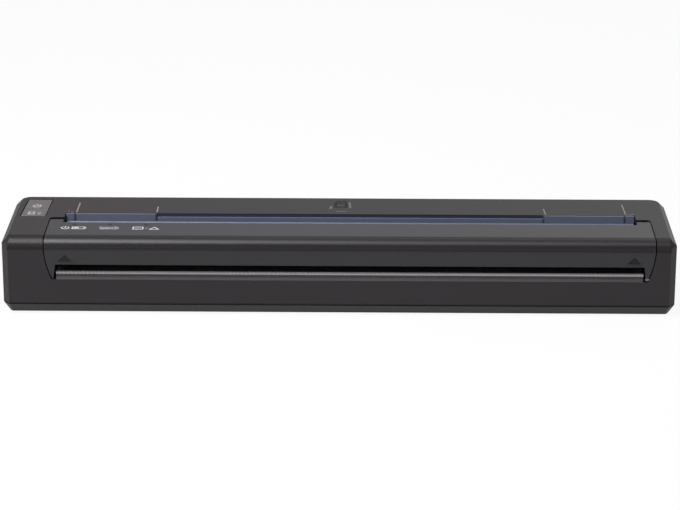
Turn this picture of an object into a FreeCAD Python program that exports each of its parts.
import FreeCAD, Part
import math
import os

# A4 portable thermal printer, a long flat bar. Millimetres, X to the right along the length,
# front at -Y, Z up from the table. The origin is on the table under the middle of the body.

# Body
LENGTH = 255.0
DEPTH = 55.0
HEIGHT = 30.0
WALL = 1.8
TOP_BEVEL = 2.15
FRONT_BEVEL = 2.3
REAR_RADIUS = 6.0
LEFT_BLOCK = 16.1
RIGHT_BLOCK = 8.1
OVERRUN = 2.0
FIT_CLEARANCE = 0.01
RUNNING_CLEARANCE = 0.05

# Bottom tray
FOOT_HEIGHT = 0.4
FOOT_RADIUS = 4.0
FOOT_RECESS = 0.8
FOOT_END_IN = 22.5
FOOT_SIDE_IN = 10.5
TRAY_TOP_Z = 4.3
TRAY_INSET = 2.5
TRAY_RIM = 3.4
SEAM_WIDTH = 0.3
SEAM_DEPTH = 0.5

# Case screws and their bosses
SCREW_RADIUS = 1.0
SCREW_HEAD_RADIUS = 2.0
SCREW_HEAD_HEIGHT = 1.3
SCREW_HEAD_CLEARANCE = 0.2
SCREW_TIP_Z = 10.0
BOSS_RADIUS = 2.4
BOSS_TOP_Z = 13.0
BOSS_RIB = 1.4
SCREW_END_IN = 6.0
SCREW_SIDE_IN = 6.2
SCREW_MID_X = 64.0

# Release cover and the two slots
COVER_GAP = 0.4
COVER_REAR_IN = 20.7
COVER_SIDE = 1.2
COVER_CORNER_RADIUS = 1.5
CHEEK_MID_IN = 0.9
CHEEK_LOW_IN = 2.9
CHEEK_TOP_DROP = 4.0
CHEEK_MID_DROP = 10.0
CHEEK_LOW_DROP = 15.6
CHEEK_TOE = 1.1
CHEEK_WIDTH = 4.1
SLOT_TOP_DROP = 10.05
EAR_WIDTH = 5.1
MOUTH_REAR_IN = 32.5
EAR_REAR_GAP_IN = 27.1
HINGE_IN = 23.9
EAR_RADIUS = 2.2
EAR_FRONT_IN = 19.5
PIN_RADIUS = 1.0
PIN_END_GAP = 0.3
PULL_MARK_END_IN = 7.9
PULL_MARK_HALF = 2.7
PULL_MARK_LOW_DROP = 8.8
PULL_MARK_HIGH_DROP = 6.0
PULL_MARK_DEPTH = 0.2

# Tear bar and exit guide
TEAR_FACE_IN = 0.15
TEAR_THICK = 0.5
TEAR_LOW_DROP = 14.25
TEAR_TOP_DROP = 12.8
TEAR_LEAF = 0.4
TEAR_REAR_IN = 5.5
TEAR_PITCH = 1.5
TEAR_TOOTH = 0.5
TEAR_END_GAP = 0.3
EXIT_FACE_IN = 0.1
EXIT_REAR_IN = 10.9
EXIT_THICK = 1.2
EXIT_WEB = 1.1
EXIT_WEB_LOW_DROP = 16.8

# Feed guide, the ramp behind the top slot
GUIDE_THICK = 1.2
GUIDE_FLANGE_IN = 36.5
GUIDE_TOP_IN = 31.6
GUIDE_TOP_DROP = 0.1
GUIDE_KNEE_IN = 31.3
GUIDE_KNEE_DROP = 3.0
GUIDE_LIP_GAP = 0.1
GUIDE_BEND_IN = 25.5
GUIDE_BEND_DROP = 9.5
GUIDE_END_IN = 24.1
GUIDE_END_DROP = 10.6
GUIDE_END_GAP = 0.3
GUIDE_NOTCH_HALF = 75.0
GUIDE_NOTCH_DEPTH = 1.3
GUIDE_SLIT_END_IN = 3.8
GUIDE_SLIT_WIDTH = 0.9
GUIDE_SLIT_DEPTH = 0.8

# Platen roller and its carrier
PLATEN_IN = 15.5
PLATEN_DROP = 7.7
RUBBER_RADIUS = 4.3
RUBBER_END_GAP = 0.5
CORE_RADIUS = 2.2
CORE_END_GAP = 0.5
JOURNAL_RADIUS = 1.5
CARRIER_ARM = 1.6
CARRIER_FRONT_IN = 3.0
CARRIER_SPINE_IN = 10.0
CARRIER_REAR_IN = 19.3
CARRIER_SPINE = 1.8
CARRIER_LOW_DROP = 11.8
CARRIER_FOOT_DROP = 10.8
CARRIER_TOE_IN = 11.9
CARRIER_LOW_FRONT_IN = 13.5
CARRIER_LOW_REAR_IN = 17.5
CARRIER_HEEL_DROP = 10.0
BUSH_RADIUS = 3.0
BUSH_FLANGE_RADIUS = 3.6
BUSH_FLANGE = 0.3
CLIP_RADIUS = 2.6
CLIP_THICK = 0.4
CARRIER_SCREW_RADIUS = 0.7
CARRIER_SCREW_HEAD_RADIUS = 1.5
CARRIER_SCREW_HEAD = 0.8
CARRIER_SCREW_BITE = 1.0
CARRIER_SCREW_END_IN = 14.7
CARRIER_SCREW_MID = 32.0

# Gear train
MODULE = 0.5
ADDENDUM = 0.45
DEDENDUM = 0.6
BACKLASH = 0.1
PRESSURE_ANGLE = math.radians(25.0)
PLATEN_TEETH = 18
DRIVE_TEETH = 22
TRANSFER_TEETH = 30
SMALL_TEETH = 14
REDUCTION_TEETH = 30
PINION_TEETH = 12
GEAR_GAP = 0.3
DRIVE_GEAR_WIDTH = 2.0
BLOCK_GEAR_GAP = 1.6
TRANSFER_GEAR_WIDTH = 3.0
PLANE_GAP = 0.4
REDUCTION_GEAR_WIDTH = 2.8
AXLE_RADIUS = 1.25
AXLE_HEAD_RADIUS = 1.9
AXLE_HEAD = 0.6
HUB_RADIUS = 2.6
TRANSFER_IN = 21.0
REDUCTION_IN = 31.9
MOTOR_IN = 42.0

# Stepper motor
MOTOR_RADIUS = 10.0
MOTOR_LENGTH = 16.6
MOTOR_FLANGE = 0.8
MOTOR_EAR_RADIUS = 2.2
MOTOR_SCREW_REACH = 12.5
MOTOR_SCREW_RADIUS = 0.9
MOTOR_SCREW_HEAD_RADIUS = 1.6
MOTOR_SCREW_HEAD = 0.9
MOTOR_SHAFT_RADIUS = 1.0
MOTOR_BORE_DEPTH = 7.0
MOTOR_BOSS_RADIUS = 4.0

# Chassis and sprung print head
CHASSIS_Z = 7.2
CHASSIS_THICK = 1.0
CHASSIS_SIDE_GAP = 2.9
CHASSIS_FRONT_IN = 9.0
CHASSIS_REAR_IN = 29.5
CHASSIS_SIDE_FRONT_IN = 11.6
CHASSIS_SIDE_REAR_IN = 28.5
CHASSIS_SIDE_TOP_DROP = 12.5
CHASSIS_POST_END_IN = 4.3
CHASSIS_POST_FRONT_IN = 11.5
CHASSIS_POST_REAR_IN = 24.5
CHASSIS_POST_RADIUS = 2.2
CHASSIS_SCREW_RADIUS = 0.8
CHASSIS_SCREW_HEAD_RADIUS = 1.6
CHASSIS_SCREW_HEAD = 0.8
CHASSIS_SCREW_LENGTH = 4.0
HEAD_END_GAP = 2.3
HEAD_FRONT_IN = 12.5
HEAD_REAR_IN = 22.9
HEAD_LOW_DROP = 15.8
HEAD_TOP_DROP = 12.8
CERAMIC_THICK = 0.72
CERAMIC_REAR_IN = 19.0
IC_FRONT_IN = 19.3
IC_HEIGHT = 1.5
IC_END_INSET = 8.0
FIN_PITCH = 6.0
FIN_GROOVE = 0.8
FIN_DEPTH = 1.0
PIVOT_IN = 25.5
PIVOT_DROP = 15.4
PIVOT_RADIUS = 0.8
PIVOT_EAR_RADIUS = 1.5
PIVOT_EAR_WIDTH = 2.0
PIVOT_HEAD_RADIUS = 1.3
PIVOT_HEAD = 0.3
SPRING_IN = 17.0
SPRING_RADIUS = 1.8
SPRING_WIRE = 0.25
SPRING_PITCH = 1.1
SPRING_COUNT = 5
SPRING_END_IN = 16.0
SOCKET_HALF = 24.0
SOCKET_FRONT_IN = 20.3
SOCKET_REAR_IN = 22.5
SOCKET_HEIGHT = 1.8
CABLE_THICK = 0.3
CABLE_INSET = 2.0
CABLE_GAP = 0.3
WINDOW_CLEARANCE = 1.0
LEAF_THICK = 0.4
LEAF_LOW_Z = 9.0
LEAF_BEND_DROP = 12.4
LEAF_TOP_DROP = 10.2
LEAF_LEAN = 1.0
COVER_SWITCH_WIDTH = 2.6
COVER_SWITCH_FRONT_IN = 14.5
COVER_SWITCH_REAR_IN = 20.5
COVER_SWITCH_LOW_Z = 8.8
COVER_SWITCH_TOP_Z = 13.6
COVER_SWITCH_LEVER = 0.4
COVER_SWITCH_LIFT = 1.4

# Circuit boards
BOARD_THICK = 1.2
BOARD_STANDOFF = 0.8
BOARD_END_GAP = 1.8
BOARD_FRONT_IN = 9.5
BOARD_REAR_IN = 30.0
BOARD_POST_RADIUS = 2.0
BOARD_POST_END_IN = 13.0
CHIP_HEIGHT = 1.2
CHIP_SIZE = 9.0
CHIP_SPACING = 28.0
CHIP_COUNT = 4
CHIP_IN = 14.5
CONNECTOR_HEIGHT = 2.2
IO_BOARD_END_IN = 16.0
IO_BOARD_END_GAP = 0.5
IO_BOARD_Z = 6.0
IO_BOARD_FRONT_IN = 28.0
IO_BOARD_REAR_IN = 46.1
IO_POST_RADIUS = 1.6
JACK_END_GAP = 0.8
JACK_FRONT_IN = 28.4
JACK_WIDTH = 8.0
JACK_HEIGHT = 9.0
JACK_BORE_RADIUS = 2.75
JACK_BACK = 1.6
JACK_PIN_RADIUS = 0.8
JACK_PIN_SET_BACK = 1.2
JACK_HOLE_RADIUS = 3.2
USB_LENGTH = 7.4
USB_FRONT_IN = 37.1
USB_WIDTH = 8.9
USB_HEIGHT = 3.2
USB_SHELL = 0.35
USB_TONGUE = 0.7
USB_TONGUE_INSET = 1.2
USB_FLUSH = 0.8
USB_HOLE_CLEARANCE = 0.15

# Battery
BATTERY_LEFT_IN = 40.5
BATTERY_RIGHT_IN = 18.5
BATTERY_FRONT_IN = 32.5
BATTERY_REAR_IN = 3.7
BATTERY_HEIGHT = 19.2
BATTERY_ROUND = 5.0
BATTERY_ROUND_LIMIT_SHARE = 0.45
BATTERY_CELLS = 3
BATTERY_CELL_GROOVE = 1.0
BATTERY_PAD = 0.8
BATTERY_PAD_INSET = 2.0
BATTERY_PAD_SHARE = 0.46
LEAD_THICK = 0.4
LEAD_WIDTH = 3.0
LEAD_RISE = 4.0
LEAD_RUN = 12.0
LEAD_OVERLAP = 3.5
BATTERY_LEAD_IN = 9.0

# Buttons in the left end block
BUTTON_LEFT_IN = 4.9
BUTTON_RIGHT_IN = 14.2
BUTTON_LEFT_FLARE = 0.8
BUTTON_RIGHT_FLARE = 0.6
BUTTON_FRONT_IN = 28.6
BUTTON_SPLIT_SHARE = 0.464
BUTTON_REAR_IN = 5.6
BUTTON_SPLIT_GAP = 0.5
BUTTON_GAP = 0.3
BUTTON_FLANGE = 0.8
BUTTON_FLANGE_THICK = 1.2
BUTTON_FLANGE_GAP = 0.3
BUTTON_BOARD_DROP = 8.4
BUTTON_BOARD_THICK = 1.0
BUTTON_BOARD_LEFT_IN = 3.0
BUTTON_BOARD_OVERHANG = 0.71
BUTTON_BOARD_FRONT_IN = 28.0
BUTTON_BOARD_REAR_IN = 5.0
BUTTON_LEDGE = 1.8
BUTTON_LEDGE_THICK = 1.2
BUTTON_LEDGE_WIDTH = 2.0
SWITCH_SIZE = 4.5
SWITCH_HEIGHT = 2.0
SWITCH_STEM_RADIUS = 1.2
SWITCH_STEM_CLEARANCE = 0.1
SWITCH_FLOOR = 0.6
BUTTON_TRAVEL = 0.5

# Status lamps in the cover
LENS_RADIUS = 0.8
LENS_IN = 18.1
LENS_END_IN = 9.9
LENS_PITCH = 13.75
LENS_COUNT = 3
LAMP_HEIGHT = 0.4
LAMP_BOARD_THICK = 0.6
LAMP_BOARD_HALF_DEPTH = 1.6
LAMP_BOARD_END = 3.0
LENS_FLANGE_RADIUS = 1.2
LENS_FLANGE = 0.2

# Paper sensor behind the feed guide
SENSOR_HALF = 2.5
SENSOR_LENGTH = 4.0
SENSOR_DEPTH = 1.6
SENSOR_WINDOW_HALF = 1.2
SENSOR_MID_SHARE = 0.6

V = FreeCAD.Vector
ROOT2_SHARE = 2.0 - math.sqrt(2.0)
HALF_SHARE = 0.5

# Places worked out from the sizes above
FRONT_Y = -DEPTH / 2
REAR_Y = DEPTH / 2
LEFT_X = -LENGTH / 2
RIGHT_X = LENGTH / 2
ROOF_Z = HEIGHT - WALL
FLOOR_Z = FOOT_HEIGHT + WALL
FRONT_IN_Y = FRONT_Y + WALL
REAR_IN_Y = REAR_Y - WALL
LEFT_IN_X = LEFT_X + WALL
RIGHT_IN_X = RIGHT_X - WALL

# Half lengths on both sides of the paper's middle
PAPER_X = (LEFT_BLOCK - RIGHT_BLOCK) / 2
COVER_HALF = (LENGTH - LEFT_BLOCK - RIGHT_BLOCK) / 2
SLOT_HALF = COVER_HALF - CHEEK_WIDTH
MOUTH_HALF = COVER_HALF - EAR_WIDTH
PULL_MARK_X = COVER_HALF - PULL_MARK_END_IN
CHASSIS_HALF = COVER_HALF - COVER_SIDE - CHASSIS_SIDE_GAP
CHASSIS_INNER = CHASSIS_HALF - CHASSIS_THICK
CHASSIS_POST_HALF = CHASSIS_HALF - CHASSIS_POST_END_IN
CARRIER_INNER = CHASSIS_HALF - CARRIER_ARM
CARRIER_SCREW_HALF = CARRIER_INNER - CARRIER_SCREW_END_IN
CORE_HALF = CARRIER_INNER - CORE_END_GAP
RUBBER_HALF = CORE_HALF - RUBBER_END_GAP
HEAD_HALF = CHASSIS_INNER - HEAD_END_GAP
SPRING_SPACING = 2 * (HEAD_HALF - SPRING_END_IN) / (SPRING_COUNT - 1)
BOARD_HALF = CHASSIS_POST_HALF - CHASSIS_POST_RADIUS - BOARD_END_GAP
BOARD_POST_HALF = BOARD_HALF - BOARD_POST_END_IN

# Places along the length that follow an end
FOOT_X = RIGHT_X - FOOT_END_IN
FOOT_Y = REAR_Y - FOOT_SIDE_IN
SCREW_X = RIGHT_X - SCREW_END_IN
SCREW_Y = REAR_Y - SCREW_SIDE_IN
IO_BOARD_X = RIGHT_X - IO_BOARD_END_IN
BATTERY_LEFT_X = LEFT_X + BATTERY_LEFT_IN
BATTERY_RIGHT_X = RIGHT_X - BATTERY_RIGHT_IN
BATTERY_LEAD_X = BATTERY_RIGHT_X - BATTERY_LEAD_IN
BUTTON_LEFT_X = LEFT_X + BUTTON_LEFT_IN
BUTTON_RIGHT_X = LEFT_X + BUTTON_RIGHT_IN
BUTTON_BOARD_LEFT_X = LEFT_X + BUTTON_BOARD_LEFT_IN

# Places behind the front face
COVER_REAR_Y = FRONT_Y + COVER_REAR_IN
MOUTH_REAR_Y = FRONT_Y + MOUTH_REAR_IN
EAR_REAR_GAP_Y = FRONT_Y + EAR_REAR_GAP_IN
HINGE_Y = FRONT_Y + HINGE_IN
EAR_FRONT_Y = FRONT_Y + EAR_FRONT_IN
TEAR_FACE_Y = FRONT_Y + TEAR_FACE_IN
TEAR_REAR_Y = FRONT_Y + TEAR_REAR_IN
EXIT_FACE_Y = FRONT_Y + EXIT_FACE_IN
EXIT_REAR_Y = FRONT_Y + EXIT_REAR_IN
GUIDE_FLANGE_Y = FRONT_Y + GUIDE_FLANGE_IN
GUIDE_TOP_Y = FRONT_Y + GUIDE_TOP_IN
GUIDE_KNEE_Y = FRONT_Y + GUIDE_KNEE_IN
GUIDE_BEND_Y = FRONT_Y + GUIDE_BEND_IN
GUIDE_END_Y = FRONT_Y + GUIDE_END_IN
PLATEN_Y = FRONT_Y + PLATEN_IN
CARRIER_FRONT_Y = FRONT_Y + CARRIER_FRONT_IN
CARRIER_SPINE_Y = FRONT_Y + CARRIER_SPINE_IN
CARRIER_REAR_Y = FRONT_Y + CARRIER_REAR_IN
CARRIER_TOE_Y = FRONT_Y + CARRIER_TOE_IN
CARRIER_LOW_FRONT_Y = FRONT_Y + CARRIER_LOW_FRONT_IN
CARRIER_LOW_REAR_Y = FRONT_Y + CARRIER_LOW_REAR_IN
TRANSFER_Y = FRONT_Y + TRANSFER_IN
REDUCTION_Y = FRONT_Y + REDUCTION_IN
MOTOR_Y = FRONT_Y + MOTOR_IN
CHASSIS_FRONT_Y = FRONT_Y + CHASSIS_FRONT_IN
CHASSIS_REAR_Y = FRONT_Y + CHASSIS_REAR_IN
CHASSIS_SIDE_FRONT_Y = FRONT_Y + CHASSIS_SIDE_FRONT_IN
CHASSIS_SIDE_REAR_Y = FRONT_Y + CHASSIS_SIDE_REAR_IN
CHASSIS_POST_FRONT_Y = FRONT_Y + CHASSIS_POST_FRONT_IN
CHASSIS_POST_REAR_Y = FRONT_Y + CHASSIS_POST_REAR_IN
HEAD_FRONT_Y = FRONT_Y + HEAD_FRONT_IN
HEAD_REAR_Y = FRONT_Y + HEAD_REAR_IN
CERAMIC_REAR_Y = FRONT_Y + CERAMIC_REAR_IN
IC_FRONT_Y = FRONT_Y + IC_FRONT_IN
PIVOT_Y = FRONT_Y + PIVOT_IN
SPRING_Y = FRONT_Y + SPRING_IN
SOCKET_FRONT_Y = FRONT_Y + SOCKET_FRONT_IN
SOCKET_REAR_Y = FRONT_Y + SOCKET_REAR_IN
COVER_SWITCH_FRONT_Y = FRONT_Y + COVER_SWITCH_FRONT_IN
COVER_SWITCH_REAR_Y = FRONT_Y + COVER_SWITCH_REAR_IN
BOARD_FRONT_Y = FRONT_Y + BOARD_FRONT_IN
BOARD_REAR_Y = FRONT_Y + BOARD_REAR_IN
CHIP_Y = FRONT_Y + CHIP_IN
IO_BOARD_FRONT_Y = FRONT_Y + IO_BOARD_FRONT_IN
IO_BOARD_REAR_Y = FRONT_Y + IO_BOARD_REAR_IN
JACK_FRONT_Y = FRONT_Y + JACK_FRONT_IN
USB_FRONT_Y = FRONT_Y + USB_FRONT_IN
BATTERY_FRONT_Y = FRONT_Y + BATTERY_FRONT_IN
BUTTON_FRONT_Y = FRONT_Y + BUTTON_FRONT_IN
BUTTON_BOARD_FRONT_Y = FRONT_Y + BUTTON_BOARD_FRONT_IN
LENS_Y = FRONT_Y + LENS_IN

# Places in front of the rear face
BATTERY_REAR_Y = REAR_Y - BATTERY_REAR_IN
BUTTON_REAR_Y = REAR_Y - BUTTON_REAR_IN
BUTTON_SPLIT_Y = BUTTON_FRONT_Y + (BUTTON_REAR_Y - BUTTON_FRONT_Y) * BUTTON_SPLIT_SHARE
BUTTON_BOARD_REAR_Y = REAR_Y - BUTTON_BOARD_REAR_IN

# Heights below the top face
CHEEK_TOP_Z = HEIGHT - CHEEK_TOP_DROP
CHEEK_MID_Z = HEIGHT - CHEEK_MID_DROP
CHEEK_LOW_Z = HEIGHT - CHEEK_LOW_DROP
SLOT_TOP_Z = HEIGHT - SLOT_TOP_DROP
PULL_MARK_LOW_Z = HEIGHT - PULL_MARK_LOW_DROP
PULL_MARK_HIGH_Z = HEIGHT - PULL_MARK_HIGH_DROP
TEAR_LOW_Z = HEIGHT - TEAR_LOW_DROP
TEAR_TOP_Z = HEIGHT - TEAR_TOP_DROP
EXIT_WEB_LOW_Z = HEIGHT - EXIT_WEB_LOW_DROP
GUIDE_TOP_Z = HEIGHT - GUIDE_TOP_DROP
GUIDE_KNEE_Z = HEIGHT - GUIDE_KNEE_DROP
GUIDE_BEND_Z = HEIGHT - GUIDE_BEND_DROP
GUIDE_END_Z = HEIGHT - GUIDE_END_DROP
PLATEN_Z = HEIGHT - PLATEN_DROP
CARRIER_LOW_Z = HEIGHT - CARRIER_LOW_DROP
CARRIER_FOOT_Z = HEIGHT - CARRIER_FOOT_DROP
CARRIER_HEEL_Z = HEIGHT - CARRIER_HEEL_DROP
CHASSIS_SIDE_TOP_Z = HEIGHT - CHASSIS_SIDE_TOP_DROP
HEAD_LOW_Z = HEIGHT - HEAD_LOW_DROP
HEAD_TOP_Z = HEIGHT - HEAD_TOP_DROP
PIVOT_Z = HEIGHT - PIVOT_DROP
LEAF_BEND_Z = HEIGHT - LEAF_BEND_DROP
LEAF_TOP_Z = HEIGHT - LEAF_TOP_DROP
BUTTON_BOARD_Z = HEIGHT - BUTTON_BOARD_DROP

FASCIA_TOP_Z = CHEEK_LOW_Z - COVER_GAP
HINGE_Z = HEIGHT - EAR_RADIUS
PARTITION_IN = COVER_HALF + COVER_GAP + FIT_CLEARANCE
PARTITION_OUT = PARTITION_IN + WALL
BUTTON_BOARD_RIGHT_X = PAPER_X - PARTITION_OUT + BUTTON_BOARD_OVERHANG
JACK_LENGTH = RIGHT_IN_X - PAPER_X - CHASSIS_HALF - JACK_END_GAP
JACK_BORE_DEPTH = JACK_LENGTH - JACK_BACK
GUIDE_SLIT_HALF = MOUTH_HALF - GUIDE_SLIT_END_IN
DRIVE_IN = CHASSIS_HALF + GEAR_GAP
DRIVE_OUT = DRIVE_IN + DRIVE_GEAR_WIDTH
PLANE_B_IN = PARTITION_OUT + BLOCK_GEAR_GAP
PLANE_B_OUT = PLANE_B_IN + TRANSFER_GEAR_WIDTH
PLANE_A_IN = PLANE_B_OUT + PLANE_GAP
PLANE_A_OUT = PLANE_A_IN + REDUCTION_GEAR_WIDTH
BOARD_Z = FLOOR_Z + BOARD_STANDOFF
BOARD_TOP_Z = BOARD_Z + BOARD_THICK


def mate_distance(teeth, other):
    return MODULE * (teeth + other) / 2


def mate_z(start_y, start_z, end_y, distance, sign):
    return start_z + sign * math.sqrt(distance ** 2 - (end_y - start_y) ** 2)


PLATEN = (PLATEN_Y, PLATEN_Z)
TRANSFER = (TRANSFER_Y, mate_z(*PLATEN, TRANSFER_Y, mate_distance(PLATEN_TEETH, DRIVE_TEETH), -1))
REDUCTION = (REDUCTION_Y, mate_z(*TRANSFER, REDUCTION_Y, mate_distance(TRANSFER_TEETH, SMALL_TEETH), -1))
MOTOR = (MOTOR_Y, mate_z(*REDUCTION, MOTOR_Y, mate_distance(REDUCTION_TEETH, PINION_TEETH), 1))
HINGE = (HINGE_Y, HINGE_Z)
PIVOT = (PIVOT_Y, PIVOT_Z)


def left(*distances):
    """X places on the left of the paper's middle, lowest first."""
    return sorted(PAPER_X - d for d in distances)


def right(*distances):
    """X places on the right of the paper's middle, lowest first."""
    return sorted(PAPER_X + d for d in distances)


def box(x, y, z):
    return Part.makeBox(x[1] - x[0], y[1] - y[0], z[1] - z[0], V(x[0], y[0], z[0]))


def rod_x(x, place, radius):
    return Part.makeCylinder(radius, x[1] - x[0], V(x[0], *place), V(1, 0, 0))


def rod_z(place, z, radius):
    return Part.makeCylinder(radius, z[1] - z[0], V(*place, z[0]), V(0, 0, 1))


def extrude(points, direction):
    face = Part.Face(Part.makePolygon(points + points[:1]))
    return face.extrude(direction)


def plate_x(points, x):
    """A (y, z) outline pushed along X."""
    return extrude([V(x[0], y, z) for y, z in points], V(x[1] - x[0], 0, 0))


def plate_y(points, y):
    """An (x, z) outline pushed along Y."""
    return extrude([V(x, y[0], z) for x, z in points], V(0, y[1] - y[0], 0))


def fuse(shapes):
    return shapes[0].multiFuse(shapes[1:]).removeSplitter()


def cut(shape, tools):
    return shape.cut(tools)


def group(shapes):
    return Part.makeCompound(shapes)


def save(shape, node):
    shape.exportStep("parts/" + node + ".step")
    print(node, len(shape.Solids), round(shape.Volume, 1), shape.isValid())


def both_sides(*distances):
    return [left(*distances), right(*distances)]


def body_outline(inset, z):
    """The body seen from above, drawn in by inset: bevelled front corners, round rear ones."""
    x0, x1 = LEFT_X + inset, RIGHT_X - inset
    y0, y1 = FRONT_Y + inset, REAR_Y - inset
    bevel = FRONT_BEVEL - inset * ROOT2_SHARE
    radius = REAR_RADIUS - inset
    middle = radius * ROOT2_SHARE / 2
    front = [V(x0, y1 - radius, z), V(x0, y0 + bevel, z), V(x0 + bevel, y0, z)]
    front += [V(x1 - bevel, y0, z), V(x1, y0 + bevel, z), V(x1, y1 - radius, z)]
    edges = [Part.makeLine(a, b) for a, b in zip(front, front[1:])]
    rear_right = Part.Arc(front[-1], V(x1 - middle, y1 - middle, z), V(x1 - radius, y1, z))
    rear_left = Part.Arc(V(x0 + radius, y1, z), V(x0 + middle, y1 - middle, z), front[0])
    edges.append(rear_right.toShape())
    edges.append(Part.makeLine(V(x1 - radius, y1, z), V(x0 + radius, y1, z)))
    edges.append(rear_left.toShape())
    return Part.Wire(edges)


def body_block(inset, z0, z1):
    return Part.Face(body_outline(inset, z0)).extrude(V(0, 0, z1 - z0))


def cover_edges(gap, top_z, y):
    """The front outline of the release cover, grown by gap: cheeks that taper inwards."""
    half = COVER_HALF + gap
    low = CHEEK_LOW_Z - gap
    x = [PAPER_X - half, PAPER_X - half + CHEEK_MID_IN, PAPER_X - half + CHEEK_LOW_IN]
    mirror = [2 * PAPER_X - place for place in x]
    start, end = V(x[0], y, top_z), V(mirror[0], y, top_z)
    left_top, right_top = V(x[0], y, CHEEK_TOP_Z), V(mirror[0], y, CHEEK_TOP_Z)
    left_low, right_low = V(x[2], y, low), V(mirror[2], y, low)
    left_arc = Part.Arc(left_top, V(x[1], y, CHEEK_MID_Z), left_low).toShape()
    right_arc = Part.Arc(right_low, V(mirror[1], y, CHEEK_MID_Z), right_top).toShape()
    edges = [Part.makeLine(start, left_top), left_arc]
    edges += [Part.makeLine(left_low, right_low), right_arc]
    edges += [Part.makeLine(right_top, end), Part.makeLine(end, start)]
    return Part.Wire(edges)


def cover_zone(gap, top_z, y):
    return Part.Face(cover_edges(gap, top_z, y[0])).extrude(V(0, y[1] - y[0], 0))


def screw_places():
    corners = [(x, y) for x in (-SCREW_X, SCREW_X) for y in (-SCREW_Y, SCREW_Y)]
    return corners + [(PAPER_X - SCREW_MID_X, -SCREW_Y), (PAPER_X + SCREW_MID_X, -SCREW_Y)]


def housing_boss(x, y):
    """A screw boss with a rib to the nearest wall."""
    boss = rod_z((x, y), (TRAY_TOP_Z, BOSS_TOP_Z), BOSS_RADIUS)
    half = BOSS_RIB / 2
    if abs(x) == SCREW_X:
        wall_x = math.copysign(RIGHT_IN_X + WALL / 2, x)
        rib = box(sorted((x, wall_x)), (y - half, y + half), (TRAY_TOP_Z, BOSS_TOP_Z))
    else:
        rib = box((x - half, x + half), (FRONT_IN_Y - WALL / 2, y), (TRAY_TOP_Z, BOSS_TOP_Z))
    return [boss, rib]


def jack_place():
    return (JACK_FRONT_Y + JACK_WIDTH / 2, IO_BOARD_Z + BOARD_THICK + JACK_HEIGHT / 2)


def button_edges(y):
    """The left and right edges of the key panel at a place y: it widens towards the front."""
    share = (BUTTON_REAR_Y - y) / (BUTTON_REAR_Y - BUTTON_FRONT_Y)
    return BUTTON_LEFT_X - BUTTON_LEFT_FLARE * share, BUTTON_RIGHT_X - BUTTON_RIGHT_FLARE * share


def key_prism(y, z, left_out, right_out):
    """A block whose sides follow the key panel's edges, grown outwards on each side."""
    near, far = button_edges(y[0]), button_edges(y[1])
    corners = [(near[0] - left_out, y[0]), (near[1] + right_out, y[0])]
    corners += [(far[1] + right_out, y[1]), (far[0] - left_out, y[1])]
    return extrude([V(*corner, z[0]) for corner in corners], V(0, 0, z[1] - z[0]))


def rear_corner(side, place, radius, z, over):
    """What is left outside a rounding at a rear corner of the cover, left (-1) or right (1)."""
    x, y = place
    across = sorted((x + side * over, x - side * radius))
    square = box(across, (y - radius, y + over), z)
    return cut(square, [rod_z((x - side * radius, y - radius), z, radius)])


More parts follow.
